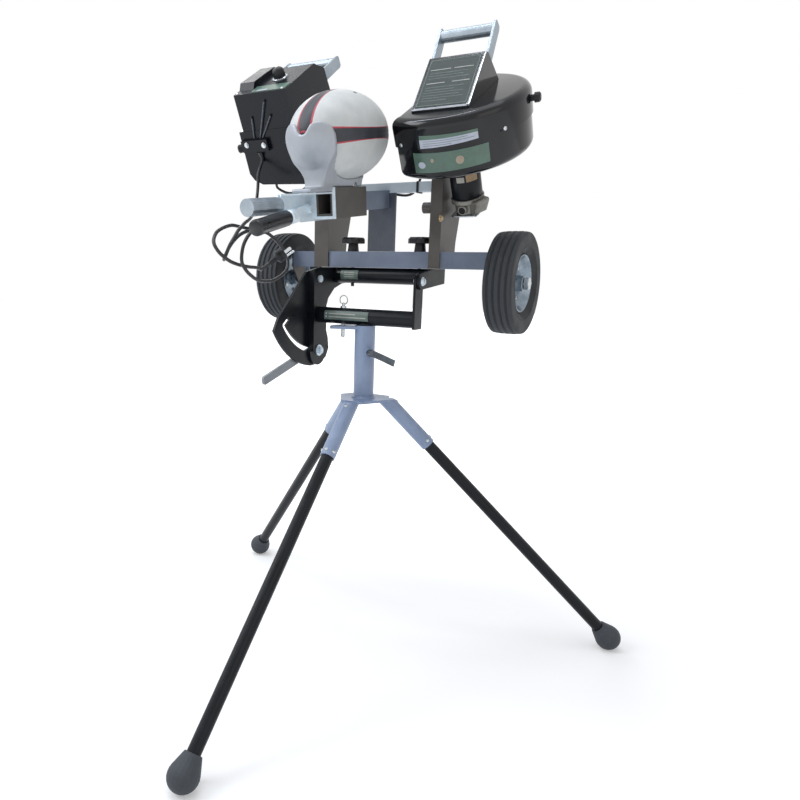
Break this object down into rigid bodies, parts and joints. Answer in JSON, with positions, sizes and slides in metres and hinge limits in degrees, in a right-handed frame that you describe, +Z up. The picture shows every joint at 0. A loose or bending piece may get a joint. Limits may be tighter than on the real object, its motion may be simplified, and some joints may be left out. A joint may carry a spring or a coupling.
{
  "type": "rugby ball throwing machine",
  "caption": "Tripod-mounted machine that throws a rugby ball between powered wheels; the ball sits in a cast cradle on a sliding carriage, and the head tilts and swivels",
  "frame": {"origin": "on the ground, at the middle of the ground box of the three feet", "axes": "+Z up, +Y the way the ball is thrown, +X to the right as seen by the person feeding the ball"},
  "size_m": [1.1766, 1.0273, 1.442],
  "materials": {
    "lavender_enamel": "lavender grey stove enamel, satin",
    "grey_enamel": "warm grey enamel, satin",
    "black_enamel": "black enamel, half gloss",
    "black_rubber": "matt black rubber",
    "black_tyre": "matt ribbed tread",
    "black_shell": "glossy black moulding",
    "black_knob": "matt black plastic",
    "zinc": "bright zinc plate",
    "bright_steel": "brushed, bright",
    "cast_aluminium": "satin sand casting",
    "ball_cover": "pimpled synthetic cover, satin"
  },
  "bodies": {
    "tripod": {"tripod_hub": "lavender_enamel", "leg_near": "black_enamel", "leg_right": "black_enamel", "leg_left": "black_enamel", "foot_near": "black_rubber", "foot_right": "black_rubber", "foot_left": "black_rubber"},
    "swivel_clamp": {"swivel_clamp_screw": "zinc"},
    "yoke": {"swivel_tube": "black_enamel", "swivel_arm_right": "black_enamel", "swivel_arm_left": "black_enamel", "pivot_bolt_right": "zinc", "pivot_bolt_left": "zinc", "tilt_clamp_bolt": "zinc"},
    "tilt_lock": {"tilt_lock_lever": "grey_enamel"},
    "swivel_index": {"index_pin": "zinc"},
    "head": {"quadrant_plate": "black_enamel", "tilt_ear_right": "black_enamel", "tilt_tube": "black_enamel", "main_bar": "lavender_enamel", "upright_right": "grey_enamel", "upright_left": "grey_enamel", "middle_post": "lavender_enamel", "cross_bar": "lavender_enamel", "slide_rail": "lavender_enamel", "wheel_axle_right": "bright_steel", "wheel_axle_left": "bright_steel", "lower_cover_right": "black_shell", "lower_cover_left": "black_shell", "upper_cover_right": "black_shell", "upper_cover_left": "black_shell", "motor_right": "black_enamel", "motor_left": "black_enamel", "panel_box": "black_shell", "control_box": "black_shell", "carry_handle_right": "bright_steel", "carry_handle_left": "bright_steel", "mains_lead": "black_rubber", "mains_plug": "black_knob", "link_cable": "black_rubber"},
    "bar_knob_right": {"star_knob_right": "black_knob"},
    "bar_knob_left": {"star_knob_left": "black_knob"},
    "transport_wheel_right": {"tyre_right": "black_tyre", "rim_right": "cast_aluminium"},
    "transport_wheel_left": {"tyre_left": "black_tyre", "rim_left": "cast_aluminium"},
    "thrower_right": {"throwing_wheel_right": "black_tyre", "throwing_hub_right": "cast_aluminium"},
    "thrower_left": {"throwing_wheel_left": "black_tyre", "throwing_hub_left": "cast_aluminium"},
    "cover_catch_right": {"cover_knob_right": "black_knob"},
    "cover_catch_left": {"cover_knob_left": "black_knob"},
    "dial": {"speed_dial": "black_knob"},
    "carriage": {"carriage_sleeve": "grey_enamel", "ball_cradle": "cast_aluminium", "carriage_bracket": "zinc", "push_handle": "zinc"},
    "feed_lever": {"feed_lever_link": "zinc", "feed_lever_grip": "black_rubber"},
    "ball": {"ball": "ball_cover"}
  },
  "joints": [
    {"name": "swivel", "type": "hinge", "parent": "tripod", "child": "yoke", "pos_m": [0, 0.16075, 0.832], "axis": [0, 0, 1], "range_deg": [-20, 20]},
    {"name": "swivel_clamp_turn", "type": "hinge", "parent": "tripod", "child": "swivel_clamp", "pos_m": [0, 0.16075, 0.752], "axis": [0.766, -0.6428, 0], "range_deg": [-60, 60]},
    {"name": "index_pin_lift", "type": "slide", "parent": "yoke", "child": "swivel_index", "axis": [0, 0, 1], "range_m": [0, 0.03]},
    {"name": "tilt_lock_turn", "type": "hinge", "parent": "yoke", "child": "tilt_lock", "pos_m": [0, 0.16075, 0.745], "axis": [1, 0, 0], "range_deg": [-35, 35]},
    {"name": "tilt", "type": "hinge", "parent": "yoke", "child": "head", "pos_m": [0, 0.16075, 0.917], "axis": [1, 0, 0], "range_deg": [-12, 22]},
    {"name": "bar_knob_right_turn", "type": "hinge", "parent": "head", "child": "bar_knob_right", "pos_m": [0.09, 0.25275, 0.9833], "axis": [0, 0, 1], "continuous": true},
    {"name": "bar_knob_left_turn", "type": "hinge", "parent": "head", "child": "bar_knob_left", "pos_m": [-0.09, 0.25275, 0.9833], "axis": [0, 0, 1], "continuous": true},
    {"name": "transport_wheel_right_roll", "type": "hinge", "parent": "head", "child": "transport_wheel_right", "pos_m": [0.308, 0.27575, 0.917], "axis": [1, 0, 0], "continuous": true},
    {"name": "transport_wheel_left_roll", "type": "hinge", "parent": "head", "child": "transport_wheel_left", "pos_m": [-0.294, 0.27575, 0.917], "axis": [1, 0, 0], "continuous": true},
    {"name": "thrower_right_spin", "type": "hinge", "parent": "head", "child": "thrower_right", "pos_m": [0.192, 0.20025, 1.244], "axis": [0, -0.4695, 0.8829], "continuous": true},
    {"name": "thrower_left_spin", "type": "hinge", "parent": "head", "child": "thrower_left", "pos_m": [-0.192, 0.20025, 1.244], "axis": [0, -0.4695, 0.8829], "continuous": true},
    {"name": "cover_catch_right_turn", "type": "hinge", "parent": "head", "child": "cover_catch_right", "pos_m": [0.192, 0.18429, 1.27402], "axis": [0.9903, 0.1229, 0.0653], "range_deg": [0, 90]},
    {"name": "cover_catch_left_turn", "type": "hinge", "parent": "head", "child": "cover_catch_left", "pos_m": [-0.192, 0.19368, 1.25636], "axis": [-0.891, -0.4008, -0.2131], "range_deg": [0, 90]},
    {"name": "speed_dial_turn", "type": "hinge", "parent": "head", "child": "dial", "pos_m": [-0.183, 0.07271, 1.3518], "axis": [0, -0.5596, 0.8287], "range_deg": [0, 300]},
    {"name": "carriage_slide", "type": "slide", "parent": "head", "child": "carriage", "axis": [0, 0.9936, 0.1132], "range_m": [0, 0.06]},
    {"name": "feed_lever_swing", "type": "hinge", "parent": "carriage", "child": "feed_lever", "pos_m": [-0.006, -0.05125, 1.06], "axis": [1, 0, 0], "range_deg": [0, 12]},
    {"name": "ball_lift", "type": "slide", "parent": "carriage", "child": "ball", "axis": [0, 0.6429, 0.7659], "range_m": [0, 0.15]}
  ]
}
